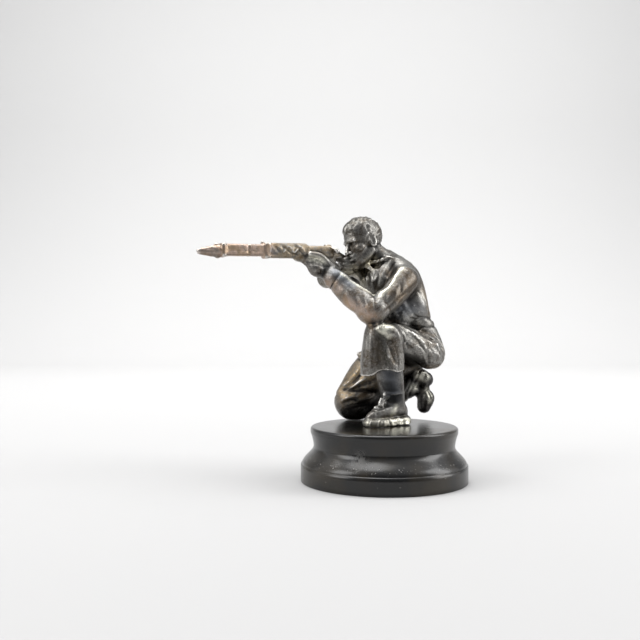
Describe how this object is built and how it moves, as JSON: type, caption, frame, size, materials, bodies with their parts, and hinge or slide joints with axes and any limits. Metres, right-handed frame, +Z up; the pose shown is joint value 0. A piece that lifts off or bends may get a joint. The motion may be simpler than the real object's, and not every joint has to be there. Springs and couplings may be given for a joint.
{
  "type": "metal soldier statuette",
  "caption": "Cast metal statuette of a bareheaded soldier kneeling to aim a rifle, fixed on a turned black wooden plinth with a waisted moulding.",
  "frame": {"origin": "centre of the plinth's round underside", "axes": "+Z up along the plinth's axis, -Y towards the side from which the soldier's left arm and leg are seen, -X towards the side at which the rifle points"},
  "size_m": [0.1112, 0.0707, 0.1128],
  "materials": {
    "oxidised_white_metal": "oxidised and handled, bright on the raised parts and dark in the hollows, with warm brown and copper toning",
    "black_lacquered_wood": "black lacquer with a soft gloss, dusty and lightly scuffed"
  },
  "bodies": {
    "root": {"soldier_casting": "oxidised_white_metal", "turned_plinth": "black_lacquered_wood"}
  },
  "joints": []
}
